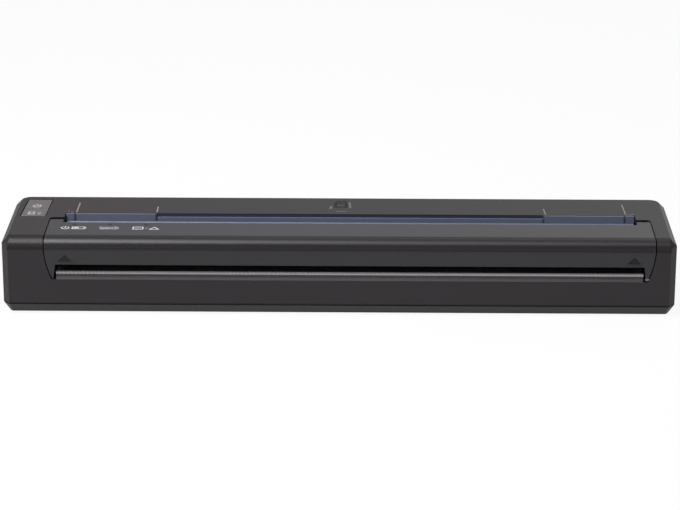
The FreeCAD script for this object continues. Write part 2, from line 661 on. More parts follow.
def make_main_housing():
    outer = body_block(0, TRAY_TOP_Z, HEIGHT - TOP_BEVEL)
    bevel = Part.makeLoft([body_outline(0, HEIGHT - TOP_BEVEL), body_outline(TOP_BEVEL, HEIGHT)], True, True)
    shell = cut(fuse([outer, bevel]), [body_block(WALL, TRAY_TOP_Z - OVERRUN, ROOF_Z)])
    walls = []
    for x in both_sides(PARTITION_IN, PARTITION_OUT):
        walls.append(box(x, (FRONT_IN_Y - WALL / 4, EAR_REAR_GAP_Y), (TRAY_TOP_Z, ROOF_Z + WALL / 4)))
    motor_wall = left(PARTITION_IN, PARTITION_OUT)
    walls.append(box(motor_wall, (EAR_REAR_GAP_Y, REAR_IN_Y + WALL / 2), (TRAY_TOP_Z, BUTTON_BOARD_Z)))
    ledge_z = (BUTTON_BOARD_Z - BUTTON_LEDGE_THICK, BUTTON_BOARD_Z)
    ledge_x = (LEFT_IN_X - WALL / 2, LEFT_IN_X + BUTTON_LEDGE)
    for y in (BUTTON_BOARD_FRONT_Y, BUTTON_BOARD_REAR_Y - BUTTON_LEDGE_WIDTH):
        walls.append(box(ledge_x, (y, y + BUTTON_LEDGE_WIDTH), ledge_z))
    for place in screw_places():
        walls += housing_boss(*place)
    shell = fuse([shell] + walls)

    zone = cover_zone(COVER_GAP, HEIGHT + OVERRUN, (FRONT_Y - OVERRUN, EAR_REAR_GAP_Y))
    mouth_x = (PAPER_X - MOUTH_HALF, PAPER_X + MOUTH_HALF)
    mouth = box(mouth_x, (EAR_REAR_GAP_Y - OVERRUN, MOUTH_REAR_Y), (ROOF_Z - OVERRUN, HEIGHT + OVERRUN))
    keys_y = (BUTTON_FRONT_Y - BUTTON_GAP, BUTTON_REAR_Y + BUTTON_GAP)
    keys = key_prism(keys_y, (ROOF_Z - OVERRUN, HEIGHT + OVERRUN), BUTTON_GAP, BUTTON_GAP)
    tools = [zone, mouth, keys]
    for x in both_sides(PARTITION_IN - OVERRUN, PARTITION_OUT + OVERRUN):
        tools.append(rod_x(x, HINGE, PIN_RADIUS + FIT_CLEARANCE))
    wall_x = left(PARTITION_IN - OVERRUN, PARTITION_OUT + OVERRUN)
    tools.append(rod_x(wall_x, TRANSFER, AXLE_RADIUS + RUNNING_CLEARANCE))
    tools.append(rod_x(wall_x, REDUCTION, AXLE_RADIUS + FIT_CLEARANCE))
    tools.append(rod_x(wall_x, MOTOR, MOTOR_BOSS_RADIUS))
    for place in motor_screw_places():
        tools.append(rod_x(wall_x, place, MOTOR_SCREW_RADIUS + FIT_CLEARANCE))
    bore_z = (TRAY_TOP_Z - OVERRUN, SCREW_TIP_Z + SCREW_RADIUS)
    for place in screw_places():
        tools.append(rod_z(place, bore_z, SCREW_RADIUS + FIT_CLEARANCE))
    end_x = (RIGHT_IN_X - OVERRUN, RIGHT_X + OVERRUN)
    tools.append(rod_x(end_x, jack_place(), JACK_HOLE_RADIUS))
    usb_z = IO_BOARD_Z + BOARD_THICK
    usb_y = (USB_FRONT_Y - USB_HOLE_CLEARANCE, USB_FRONT_Y + USB_WIDTH + USB_HOLE_CLEARANCE)
    tools.append(box(end_x, usb_y, (usb_z - USB_HOLE_CLEARANCE, usb_z + USB_HEIGHT + USB_HOLE_CLEARANCE)))
    corners = []
    for side in (-1, 1):
        place = (PAPER_X + side * (COVER_HALF + COVER_GAP), EAR_REAR_GAP_Y)
        corners.append(rear_corner(side, place, COVER_CORNER_RADIUS, (ROOF_Z, HEIGHT), 0))
    return fuse([cut(shell, tools)] + corners)


def post_places():
    """Tray posts as ((x, y), radius, top)."""
    posts = []
    for x in (PAPER_X - CHASSIS_POST_HALF, PAPER_X + CHASSIS_POST_HALF):
        for y in (CHASSIS_POST_FRONT_Y, CHASSIS_POST_REAR_Y):
            posts.append(((x, y), CHASSIS_POST_RADIUS, CHASSIS_Z))
    for x in (PAPER_X - BOARD_POST_HALF, PAPER_X + BOARD_POST_HALF):
        for y in (BOARD_FRONT_Y + BOARD_POST_RADIUS, BOARD_REAR_Y - BOARD_POST_RADIUS):
            posts.append(((x, y), BOARD_POST_RADIUS, BOARD_Z))
    io_x = (IO_BOARD_X + IO_POST_RADIUS, RIGHT_IN_X - TRAY_RIM - IO_POST_RADIUS)
    for x in io_x:
        for y in (IO_BOARD_FRONT_Y + IO_POST_RADIUS, IO_BOARD_REAR_Y - IO_POST_RADIUS):
            posts.append(((x, y), IO_POST_RADIUS, IO_BOARD_Z))
    return posts


def chassis_post_tops():
    return [place for place, radius, top in post_places() if top == CHASSIS_Z]


def foot_places():
    return [(x, y) for x in (-FOOT_X, FOOT_X) for y in (-FOOT_Y, FOOT_Y)]


def make_bottom_cover():
    tray = Part.makeLoft([body_outline(TRAY_INSET, FOOT_HEIGHT), body_outline(0, TRAY_TOP_Z)], True, True)
    seam = cut(
        body_block(-OVERRUN / 2, TRAY_TOP_Z - SEAM_WIDTH, TRAY_TOP_Z + OVERRUN),
        [body_block(SEAM_DEPTH, TRAY_TOP_Z - OVERRUN, TRAY_TOP_Z + 2 * OVERRUN)],
    )
    hollow = body_block(TRAY_RIM, FLOOR_Z, TRAY_TOP_Z + OVERRUN)
    tray = cut(tray, [seam, hollow])
    base_z = FLOOR_Z - WALL / 2
    pads = [rod_z(place, (base_z, TRAY_TOP_Z), BOSS_RADIUS + WALL / 2) for place in screw_places()]
    posts = [rod_z(place, (base_z, top), radius) for place, radius, top in post_places()]
    tray = fuse([tray] + pads + posts)
    tools = []
    head_top = FOOT_HEIGHT + SCREW_HEAD_HEIGHT + SCREW_HEAD_CLEARANCE
    for place in screw_places():
        head_z = (FOOT_HEIGHT - OVERRUN, head_top)
        tools.append(rod_z(place, head_z, SCREW_HEAD_RADIUS + SCREW_HEAD_CLEARANCE))
        tools.append(rod_z(place, (FOOT_HEIGHT, TRAY_TOP_Z + OVERRUN), SCREW_RADIUS + SCREW_HEAD_CLEARANCE))
    for place in foot_places():
        tools.append(rod_z(place, (FOOT_HEIGHT - OVERRUN, FOOT_HEIGHT + FOOT_RECESS), FOOT_RADIUS))
    for place in chassis_post_tops():
        bite = CHASSIS_Z - CHASSIS_SCREW_LENGTH
        tools.append(rod_z(place, (bite, CHASSIS_Z + OVERRUN), CHASSIS_SCREW_RADIUS + FIT_CLEARANCE))
    return cut(tray, tools)


def make_rubber_feet():
    return group([rod_z(place, (0, FOOT_HEIGHT + FOOT_RECESS), FOOT_RADIUS) for place in foot_places()])


def make_case_screws():
    screws = []
    seat = FOOT_HEIGHT + SCREW_HEAD_HEIGHT + SCREW_HEAD_CLEARANCE
    for place in screw_places():
        head = rod_z(place, (seat - SCREW_HEAD_HEIGHT, seat), SCREW_HEAD_RADIUS)
        slot = box(
            (place[0] - SCREW_RADIUS, place[0] + SCREW_RADIUS),
            (place[1] - SCREW_RADIUS / 4, place[1] + SCREW_RADIUS / 4),
            (FOOT_HEIGHT, seat - SCREW_HEAD_HEIGHT / 2),
        )
        shank = rod_z(place, (seat - FIT_CLEARANCE, SCREW_TIP_Z), SCREW_RADIUS)
        screws.append(cut(fuse([head, shank]), [slot]))
    return group(screws)


def guide_line():
    """The ramp's upper face from its knee under the lip down to the print head, as (y, z)."""
    return [(GUIDE_KNEE_Y, GUIDE_KNEE_Z), (GUIDE_BEND_Y, GUIDE_BEND_Z), (GUIDE_END_Y, GUIDE_END_Z)]


def ramp_normal(start, end):
    dy, dz = end[0] - start[0], end[1] - start[1]
    length = math.hypot(dy, dz)
    return (-dz / length, dy / length)


def sensor_frame():
    """A place on the ramp's underside with the directions along and away from it."""
    knee, bend, _ = guide_line()
    place = [a + (b - a) * SENSOR_MID_SHARE for a, b in zip(knee, bend)]
    normal = ramp_normal(knee, bend)
    along = (-normal[1], normal[0])
    under = [p + n * GUIDE_THICK for p, n in zip(place, normal)]
    return under, along, normal


def ramp_block(frame, half_length, start, end):
    origin, along, normal = frame
    corners = [(-half_length, start), (half_length, start), (half_length, end), (-half_length, end)]
    return [tuple(o + a * u + n * w for o, a, n in zip(origin, along, normal)) for u, w in corners]


def make_feed_guide():
    knee, bend, end = guide_line()
    normal = ramp_normal(knee, bend)
    lower = ramp_normal(bend, end)
    turn = [(a + b) / 2 for a, b in zip(normal, lower)]
    under = [
        (place[0] + away[0] * GUIDE_THICK, place[1] + away[1] * GUIDE_THICK)
        for place, away in ((bend, turn), (end, lower))
    ]
    flange_z = ROOF_Z - GUIDE_THICK
    flange_y = bend[0] + (flange_z - bend[1]) * (knee[0] - bend[0]) / (knee[1] - bend[1])
    lip_y = MOUTH_REAR_Y - GUIDE_LIP_GAP
    outline = [(GUIDE_TOP_Y, GUIDE_TOP_Z), knee, bend, end, under[1], under[0]]
    outline += [(flange_y + GUIDE_THICK / normal[0], flange_z), (GUIDE_FLANGE_Y, flange_z)]
    outline += [(GUIDE_FLANGE_Y, ROOF_Z), (lip_y, ROOF_Z), (lip_y, GUIDE_TOP_Z)]
    half = MOUTH_HALF - GUIDE_END_GAP
    guide = plate_x(outline, (PAPER_X - half, PAPER_X + half))
    lip_zone = (GUIDE_KNEE_Y - OVERRUN, MOUTH_REAR_Y)
    notch_z = HEIGHT - GUIDE_NOTCH_DEPTH
    notch_x = (PAPER_X - GUIDE_NOTCH_HALF, PAPER_X + GUIDE_NOTCH_HALF)
    tools = [box(notch_x, lip_zone, (notch_z, HEIGHT + OVERRUN))]
    slit_y = (GUIDE_KNEE_Y - OVERRUN, GUIDE_KNEE_Y + GUIDE_SLIT_DEPTH)
    for distance in (GUIDE_NOTCH_HALF, GUIDE_SLIT_HALF):
        for slit_x in both_sides(distance - GUIDE_SLIT_WIDTH / 2, distance + GUIDE_SLIT_WIDTH / 2):
            tools.append(box(slit_x, slit_y, (GUIDE_KNEE_Z, HEIGHT + OVERRUN)))
    window_x = (PAPER_X - SENSOR_WINDOW_HALF, PAPER_X + SENSOR_WINDOW_HALF)
    tools.append(plate_x(ramp_block(sensor_frame(), SENSOR_WINDOW_HALF, -OVERRUN, OVERRUN), window_x))
    return cut(guide, tools)


def make_paper_sensor():
    x = (PAPER_X - SENSOR_HALF, PAPER_X + SENSOR_HALF)
    case = plate_x(ramp_block(sensor_frame(), SENSOR_LENGTH / 2, 0, SENSOR_DEPTH), x)
    eye_half = SENSOR_WINDOW_HALF - RUNNING_CLEARANCE
    eye_x = (PAPER_X - eye_half, PAPER_X + eye_half)
    eye = plate_x(ramp_block(sensor_frame(), eye_half, -GUIDE_THICK / 2, 0), eye_x)
    return fuse([case, eye])


def make_exit_guide():
    top = TEAR_TOP_Z - TEAR_LEAF
    rest_y = TEAR_FACE_Y + TEAR_THICK
    web_y = FRONT_IN_Y + EXIT_WEB
    outline = [(EXIT_FACE_Y, FASCIA_TOP_Z), (rest_y, TEAR_LOW_Z), (rest_y, top)]
    outline += [(EXIT_REAR_Y, top), (EXIT_REAR_Y, top - EXIT_THICK), (web_y, top - EXIT_THICK)]
    outline += [(web_y, EXIT_WEB_LOW_Z), (FRONT_IN_Y, EXIT_WEB_LOW_Z), (FRONT_IN_Y, FASCIA_TOP_Z)]
    half = SLOT_HALF - TEAR_END_GAP
    return plate_x(outline, (PAPER_X - half, PAPER_X + half))


def make_tear_bar():
    leaf_z = TEAR_TOP_Z - TEAR_LEAF
    rest_y = TEAR_FACE_Y + TEAR_THICK
    outline = [(TEAR_FACE_Y, TEAR_LOW_Z), (rest_y, TEAR_LOW_Z), (rest_y, leaf_z)]
    outline += [(TEAR_REAR_Y, leaf_z), (TEAR_REAR_Y, TEAR_TOP_Z), (TEAR_FACE_Y, TEAR_TOP_Z)]
    half = SLOT_HALF - TEAR_END_GAP
    bar = plate_x(outline, (PAPER_X - half, PAPER_X + half))
    count = int(2 * half / TEAR_PITCH)
    start = PAPER_X - count * TEAR_PITCH / 2
    saw = [(start, TEAR_TOP_Z + OVERRUN), (start, TEAR_TOP_Z)]
    for tooth in range(count):
        x = start + tooth * TEAR_PITCH
        saw += [(x + TEAR_PITCH / 2, TEAR_TOP_Z - TEAR_TOOTH), (x + TEAR_PITCH, TEAR_TOP_Z)]
    saw.append((start + count * TEAR_PITCH, TEAR_TOP_Z + OVERRUN))
    return cut(bar, [plate_y(saw, (TEAR_FACE_Y - OVERRUN, rest_y))])


def direction(start, end):
    return math.atan2(end[1] - start[1], end[0] - start[0])


def involute(angle):
    return math.tan(angle) - angle


def gear(teeth, centre, start_angle, x):
    """A spur gear along X with one tooth at start_angle; flanks are arcs laid on the involute."""
    pitch = MODULE * teeth / 2
    base = pitch * math.cos(PRESSURE_ANGLE)
    tip, root = pitch + ADDENDUM, pitch - DEDENDUM
    flank_start = max(base, root)
    half_tooth = math.pi / teeth / 2 - BACKLASH / pitch / 2

    def half_angle(radius):
        return half_tooth + involute(PRESSURE_ANGLE) - involute(math.acos(min(1, base / radius)))

    def place(radius, angle):
        return V(x[0], centre[0] + radius * math.cos(angle), centre[1] + radius * math.sin(angle))

    def arc(*ends):
        points = [place(*end) for end in ends]
        return Part.Arc(*points).toShape()

    middle = (flank_start + tip) / 2
    edges = []
    for tooth in range(teeth):
        angle = start_angle + 2 * math.pi * tooth / teeth
        low, mid, high = (half_angle(r) for r in (flank_start, middle, tip))
        if root < flank_start:
            edges.append(Part.makeLine(place(root, angle - low), place(flank_start, angle - low)))
        edges.append(arc((flank_start, angle - low), (middle, angle - mid), (tip, angle - high)))
        edges.append(arc((tip, angle - high), (tip, angle), (tip, angle + high)))
        edges.append(arc((tip, angle + high), (middle, angle + mid), (flank_start, angle + low)))
        if root < flank_start:
            edges.append(Part.makeLine(place(flank_start, angle + low), place(root, angle + low)))
        step = math.pi / teeth
        edges.append(arc((root, angle + low), (root, angle + step), (root, angle + 2 * step - low)))
    return Part.Face(Part.Wire(edges)).extrude(V(x[1] - x[0], 0, 0))


def meshed_angle(teeth, centre, start_angle, other_teeth, other_centre):
    """The tooth angle of the second gear whose gap meets the first gear's tooth."""
    line = direction(centre, other_centre)
    phase = (line - start_angle) * teeth / (2 * math.pi)
    return line + math.pi - (HALF_SHARE - phase) * 2 * math.pi / other_teeth


def gear_angles():
    """The tooth angle of each gear, followed through the train from the platen."""
    drive = meshed_angle(PLATEN_TEETH, PLATEN, 0, DRIVE_TEETH, TRANSFER)
    small = meshed_angle(TRANSFER_TEETH, TRANSFER, 0, SMALL_TEETH, REDUCTION)
    pinion = meshed_angle(REDUCTION_TEETH, REDUCTION, 0, PINION_TEETH, MOTOR)
    return drive, small, pinion


def make_platen_gear():
    wheel = gear(PLATEN_TEETH, PLATEN, 0, left(DRIVE_IN, DRIVE_OUT))
    return cut(wheel, [rod_x(left(DRIVE_IN - OVERRUN, DRIVE_OUT + OVERRUN), PLATEN, JOURNAL_RADIUS)])


def make_transfer_drive_gear():
    wheel = gear(DRIVE_TEETH, TRANSFER, gear_angles()[0], left(DRIVE_IN, DRIVE_OUT))
    return cut(wheel, [rod_x(left(DRIVE_IN - OVERRUN, DRIVE_OUT + OVERRUN), TRANSFER, AXLE_RADIUS)])


def make_transfer_gear():
    wheel = gear(TRANSFER_TEETH, TRANSFER, 0, left(PLANE_B_IN, PLANE_B_OUT))
    hub = rod_x(left(PLANE_B_IN, PARTITION_OUT + GEAR_GAP), TRANSFER, HUB_RADIUS)
    bore = rod_x(left(PARTITION_OUT - OVERRUN, PLANE_B_OUT + OVERRUN), TRANSFER, AXLE_RADIUS)
    return cut(fuse([wheel, hub]), [bore])


def make_transfer_shaft():
    return rod_x(left(CHASSIS_INNER - AXLE_HEAD, PLANE_B_OUT + GEAR_GAP), TRANSFER, AXLE_RADIUS)


def make_reduction_gear():
    small = gear(SMALL_TEETH, REDUCTION, gear_angles()[1], left(PLANE_B_IN, PLANE_B_OUT))
    large = gear(REDUCTION_TEETH, REDUCTION, 0, left(PLANE_A_IN, PLANE_A_OUT))
    hub = rod_x(left(PARTITION_OUT + GEAR_GAP, PLANE_A_IN), REDUCTION, HUB_RADIUS)
    bore = rod_x(left(PARTITION_OUT, PLANE_A_OUT + OVERRUN), REDUCTION, AXLE_RADIUS + RUNNING_CLEARANCE)
    return cut(fuse([small, large, hub]), [bore])


def make_reduction_gear_axle():
    pin = rod_x(left(PARTITION_IN, PLANE_A_OUT + GEAR_GAP), REDUCTION, AXLE_RADIUS)
    clip_in = PLANE_A_OUT + GEAR_GAP
    clip = rod_x(left(clip_in, clip_in + AXLE_HEAD), REDUCTION, AXLE_HEAD_RADIUS)
    return fuse([pin, clip])


def motor_screw_places():
    reach = MOTOR_SCREW_REACH / math.sqrt(2)
    return [(MOTOR[0] - reach, MOTOR[1] - reach), (MOTOR[0] + reach, MOTOR[1] - reach)]


def make_stepper_motor():
    flange_x = left(PARTITION_IN - MOTOR_FLANGE, PARTITION_IN)
    can_x = left(PARTITION_IN - MOTOR_FLANGE - MOTOR_LENGTH, PARTITION_IN - MOTOR_FLANGE)
    shapes = [rod_x(can_x, MOTOR, MOTOR_RADIUS), rod_x(flange_x, MOTOR, MOTOR_RADIUS)]
    for place in motor_screw_places():
        shapes.append(rod_x(flange_x, place, MOTOR_EAR_RADIUS))
        reach = MOTOR_EAR_RADIUS / MOTOR_SCREW_REACH
        across = ((MOTOR[1] - place[1]) * reach, (place[0] - MOTOR[0]) * reach)
        ear = [
            (centre[0] + side * across[0], centre[1] + side * across[1])
            for centre, side in ((MOTOR, -1), (place, -1), (place, 1), (MOTOR, 1))
        ]
        shapes.append(plate_x(ear, flange_x))
    boss = rod_x(left(PARTITION_IN - OVERRUN, PARTITION_OUT), MOTOR, MOTOR_BOSS_RADIUS - RUNNING_CLEARANCE)
    motor = fuse(shapes + [boss])
    bore_x = left(PARTITION_IN - MOTOR_BORE_DEPTH, PARTITION_OUT + OVERRUN)
    tools = [rod_x(bore_x, MOTOR, MOTOR_SHAFT_RADIUS + RUNNING_CLEARANCE)]
    for place in motor_screw_places():
        tools.append(rod_x(flange_x, place, MOTOR_SCREW_RADIUS + FIT_CLEARANCE))
    return cut(motor, tools)


def make_motor_screws():
    screws = []
    for place in motor_screw_places():
        shank = rod_x(left(PARTITION_IN - MOTOR_FLANGE, PARTITION_OUT), place, MOTOR_SCREW_RADIUS)
        head_x = left(PARTITION_IN - MOTOR_FLANGE - MOTOR_SCREW_HEAD, PARTITION_IN - MOTOR_FLANGE)
        screws.append(fuse([shank, rod_x(head_x, place, MOTOR_SCREW_HEAD_RADIUS)]))
    return group(screws)


def make_motor_shaft():
    x = left(PARTITION_IN - MOTOR_BORE_DEPTH + GEAR_GAP, PLANE_A_OUT + GEAR_GAP)
    return rod_x(x, MOTOR, MOTOR_SHAFT_RADIUS)


def make_motor_pinion():
    wheel = gear(PINION_TEETH, MOTOR, gear_angles()[2], left(PLANE_A_IN, PLANE_A_OUT))
    return cut(wheel, [rod_x(left(PLANE_A_IN - OVERRUN, PLANE_A_OUT + OVERRUN), MOTOR, MOTOR_SHAFT_RADIUS)])


def make_platen_shaft():
    core = rod_x((PAPER_X - CORE_HALF, PAPER_X + CORE_HALF), PLATEN, CORE_RADIUS)
    journal_x = (PAPER_X - DRIVE_OUT - CLIP_THICK, PAPER_X + CHASSIS_HALF + CLIP_THICK)
    return fuse([core, rod_x(journal_x, PLATEN, JOURNAL_RADIUS)])


def make_platen_rubber():
    x = (PAPER_X - RUBBER_HALF, PAPER_X + RUBBER_HALF)
    return cut(rod_x(x, PLATEN, RUBBER_RADIUS), [rod_x(x, PLATEN, CORE_RADIUS)])


def make_platen_clips():
    clips = []
    for x in (left(DRIVE_OUT, DRIVE_OUT + CLIP_THICK), right(CHASSIS_HALF, CHASSIS_HALF + CLIP_THICK)):
        clips.append(cut(rod_x(x, PLATEN, CLIP_RADIUS), [rod_x(x, PLATEN, JOURNAL_RADIUS)]))
    return group(clips)


def make_platen_bushes():
    bushes = []
    bodies = both_sides(CARRIER_INNER, CHASSIS_HALF)
    rims = both_sides(CARRIER_INNER - BUSH_FLANGE, CARRIER_INNER)
    for body, rim in zip(bodies, rims):
        sleeve = fuse([rod_x(body, PLATEN, BUSH_RADIUS), rod_x(rim, PLATEN, BUSH_FLANGE_RADIUS)])
        ends = (min(body[0], rim[0]), max(body[1], rim[1]))
        bushes.append(cut(sleeve, [rod_x(ends, PLATEN, JOURNAL_RADIUS + RUNNING_CLEARANCE)]))
    return group(bushes)


def carrier_screw_places():
    y = (CARRIER_FRONT_Y + CARRIER_SPINE_Y) / 2
    halves = (-CARRIER_SCREW_HALF, -CARRIER_SCREW_MID, CARRIER_SCREW_MID, CARRIER_SCREW_HALF)
    return [(PAPER_X + half, y) for half in halves]


def make_platen_carrier():
    low = ROOF_Z - CARRIER_SPINE
    spine_x = (PAPER_X - CHASSIS_HALF, PAPER_X + CHASSIS_HALF)
    shapes = [box(spine_x, (CARRIER_FRONT_Y, CARRIER_SPINE_Y), (low, ROOF_Z))]
    arm = [(CARRIER_FRONT_Y, ROOF_Z), (CARRIER_FRONT_Y, low), (CARRIER_TOE_Y, CARRIER_FOOT_Z)]
    arm += [(CARRIER_LOW_FRONT_Y, CARRIER_LOW_Z), (CARRIER_LOW_REAR_Y, CARRIER_LOW_Z)]
    arm += [(CARRIER_REAR_Y, CARRIER_HEEL_Z), (CARRIER_REAR_Y, ROOF_Z)]
    arms = both_sides(CARRIER_INNER, CHASSIS_HALF)
    shapes += [plate_x(arm, x) for x in arms]
    tools = [rod_x(x, PLATEN, BUSH_RADIUS + FIT_CLEARANCE) for x in arms]
    for place in carrier_screw_places():
        tools.append(rod_z(place, (low - OVERRUN, HEIGHT), CARRIER_SCREW_RADIUS + FIT_CLEARANCE))
    return cut(fuse(shapes), tools)


def make_carrier_screws():
    screws = []
    low = ROOF_Z - CARRIER_SPINE
    for place in carrier_screw_places():
        shank = rod_z(place, (low, ROOF_Z + CARRIER_SCREW_BITE), CARRIER_SCREW_RADIUS)
        screws.append(fuse([shank, rod_z(place, (low - CARRIER_SCREW_HEAD, low), CARRIER_SCREW_HEAD_RADIUS)]))
    return group(screws)


def lens_places():
    first = PAPER_X - COVER_HALF + LENS_END_IN
    return [(first + index * LENS_PITCH, LENS_Y) for index in range(LENS_COUNT)]


def pull_mark(x):
    """A shallow triangle in the front of the cover that points up at the finger's place."""
    points = [(x - PULL_MARK_HALF, PULL_MARK_LOW_Z), (x + PULL_MARK_HALF, PULL_MARK_LOW_Z)]
    points.append((x, PULL_MARK_HIGH_Z))
    return plate_y(points, (FRONT_Y - OVERRUN, FRONT_Y + PULL_MARK_DEPTH))


def make_release_cover():
    block = cover_zone(0, HEIGHT, (FRONT_Y, FRONT_IN_Y))
    front = cut(block, [box(
        (PAPER_X - SLOT_HALF, PAPER_X + SLOT_HALF),
        (FRONT_Y - OVERRUN, FRONT_Y + DEPTH),
        (0, SLOT_TOP_Z),
    )])
    toe = [(PAPER_X - SLOT_HALF, CHEEK_LOW_Z - OVERRUN), (PAPER_X - SLOT_HALF, CHEEK_MID_Z)]
    toe.append((PAPER_X - SLOT_HALF - CHEEK_TOE, CHEEK_LOW_Z - OVERRUN))
    toe_right = [(2 * PAPER_X - x, z) for x, z in toe]
    toe_y = (FRONT_Y - OVERRUN, FRONT_IN_Y + OVERRUN)
    front = cut(front, [plate_y(toe, toe_y), plate_y(toe_right, toe_y)])
    cover_x = (PAPER_X - COVER_HALF, PAPER_X + COVER_HALF)
    shapes = [front, box(cover_x, (FRONT_Y, COVER_REAR_Y), (ROOF_Z, HEIGHT))]
    ear_low = HINGE_Z - EAR_RADIUS
    side = [(FRONT_IN_Y, HEIGHT), (FRONT_IN_Y, CHEEK_TOP_Z), (CARRIER_SPINE_Y, CHEEK_MID_Z)]
    side += [(EAR_FRONT_Y, ear_low), (HINGE_Y, ear_low), (HINGE_Y, HEIGHT)]
    shapes += [plate_x(side, x) for x in both_sides(COVER_HALF - COVER_SIDE, COVER_HALF)]
    for x in both_sides(MOUTH_HALF, COVER_HALF):
        shapes.append(box(x, (EAR_FRONT_Y, HINGE_Y), (ear_low, HEIGHT)))
        shapes.append(rod_x(x, HINGE, EAR_RADIUS))
    bevel = [(FRONT_Y - OVERRUN, HEIGHT + OVERRUN), (FRONT_Y - OVERRUN, HEIGHT - TOP_BEVEL - OVERRUN)]
    bevel += [(FRONT_Y + TOP_BEVEL + OVERRUN, HEIGHT + OVERRUN)]
    wide_x = (PAPER_X - COVER_HALF - OVERRUN, PAPER_X + COVER_HALF + OVERRUN)
    tools = [plate_x(bevel, wide_x)]
    for x in both_sides(MOUTH_HALF - OVERRUN, COVER_HALF + OVERRUN):
        tools.append(rod_x(x, HINGE, PIN_RADIUS + RUNNING_CLEARANCE))
    for place in lens_places():
        tools.append(rod_z(place, (ROOF_Z - OVERRUN, HEIGHT + OVERRUN), LENS_RADIUS + FIT_CLEARANCE))
    for place in carrier_screw_places():
        bite = (ROOF_Z - OVERRUN, ROOF_Z + CARRIER_SCREW_BITE)
        tools.append(rod_z(place, bite, CARRIER_SCREW_RADIUS + FIT_CLEARANCE))
    tools += [pull_mark(PAPER_X - PULL_MARK_X), pull_mark(PAPER_X + PULL_MARK_X)]
    ear_z = (ear_low - OVERRUN, HEIGHT + OVERRUN)
    for side in (-1, 1):
        place = (PAPER_X + side * COVER_HALF, HINGE_Y + EAR_RADIUS)
        tools.append(rear_corner(side, place, COVER_CORNER_RADIUS - COVER_GAP, ear_z, OVERRUN))
    return cut(fuse(shapes), tools)


def make_cover_hinge_pins():
    inner = MOUTH_HALF + PIN_END_GAP
    return group([rod_x(x, HINGE, PIN_RADIUS) for x in both_sides(inner, PARTITION_OUT)])


def make_led_lenses():
    lenses = []
    for place in lens_places():
        stem = rod_z(place, (ROOF_Z, HEIGHT), LENS_RADIUS)
        lenses.append(fuse([stem, rod_z(place, (ROOF_Z - LENS_FLANGE, ROOF_Z), LENS_FLANGE_RADIUS)]))
    return group(lenses)


def make_led_strip():
    places = lens_places()
    x = (places[0][0] - LAMP_BOARD_END, places[-1][0] + LAMP_BOARD_END)
    y = (LENS_Y - LAMP_BOARD_HALF_DEPTH, LENS_Y + LAMP_BOARD_HALF_DEPTH)
    board_top = ROOF_Z - LENS_FLANGE - LAMP_HEIGHT
    board = box(x, y, (board_top - LAMP_BOARD_THICK, board_top))
    shapes = [board]
    for place in places:
        lamp_x = (place[0] - LENS_RADIUS, place[0] + LENS_RADIUS)
        lamp_y = (place[1] - LENS_RADIUS, place[1] + LENS_RADIUS)
        shapes.append(box(lamp_x, lamp_y, (board_top, ROOF_Z - LENS_FLANGE)))
    for x0 in (x[0], x[1] - LAMP_HEIGHT):
        shapes.append(box((x0, x0 + LAMP_HEIGHT), y, (board_top, ROOF_Z)))
    return fuse(shapes)


def make_chassis():
    x = (PAPER_X - CHASSIS_HALF, PAPER_X + CHASSIS_HALF)
    top = CHASSIS_Z + CHASSIS_THICK
    shapes = [box(x, (CHASSIS_FRONT_Y, CHASSIS_REAR_Y), (CHASSIS_Z, top))]
    for side in both_sides(CHASSIS_INNER, CHASSIS_HALF):
        shapes.append(box(side, (CHASSIS_SIDE_FRONT_Y, CHASSIS_SIDE_REAR_Y), (CHASSIS_Z, CHASSIS_SIDE_TOP_Z)))
    bore_x = left(CHASSIS_INNER - OVERRUN, CHASSIS_HALF + OVERRUN)
    tools = [rod_x(bore_x, TRANSFER, AXLE_RADIUS + RUNNING_CLEARANCE)]
    for side in both_sides(CHASSIS_INNER - OVERRUN, CHASSIS_HALF + OVERRUN):
        tools.append(rod_x(side, PIVOT, PIVOT_RADIUS + FIT_CLEARANCE))
    for place in chassis_post_tops():
        tools.append(rod_z(place, (CHASSIS_Z - OVERRUN, top + OVERRUN), CHASSIS_SCREW_RADIUS + FIT_CLEARANCE))
    window_x = (PAPER_X - SOCKET_HALF - WINDOW_CLEARANCE, PAPER_X + SOCKET_HALF + WINDOW_CLEARANCE)
    window_y = (SOCKET_FRONT_Y - WINDOW_CLEARANCE, SOCKET_REAR_Y + WINDOW_CLEARANCE)
    tools.append(box(window_x, window_y, (CHASSIS_Z - OVERRUN, top + OVERRUN)))
    return cut(fuse(shapes), tools)


def make_chassis_screws():
    top = CHASSIS_Z + CHASSIS_THICK
    screws = []
    for place in chassis_post_tops():
        shank = rod_z(place, (CHASSIS_Z - CHASSIS_SCREW_LENGTH, top), CHASSIS_SCREW_RADIUS)
        screws.append(fuse([shank, rod_z(place, (top, top + CHASSIS_SCREW_HEAD), CHASSIS_SCREW_HEAD_RADIUS)]))
    return group(screws)


def head_x():
    return (PAPER_X - HEAD_HALF, PAPER_X + HEAD_HALF)


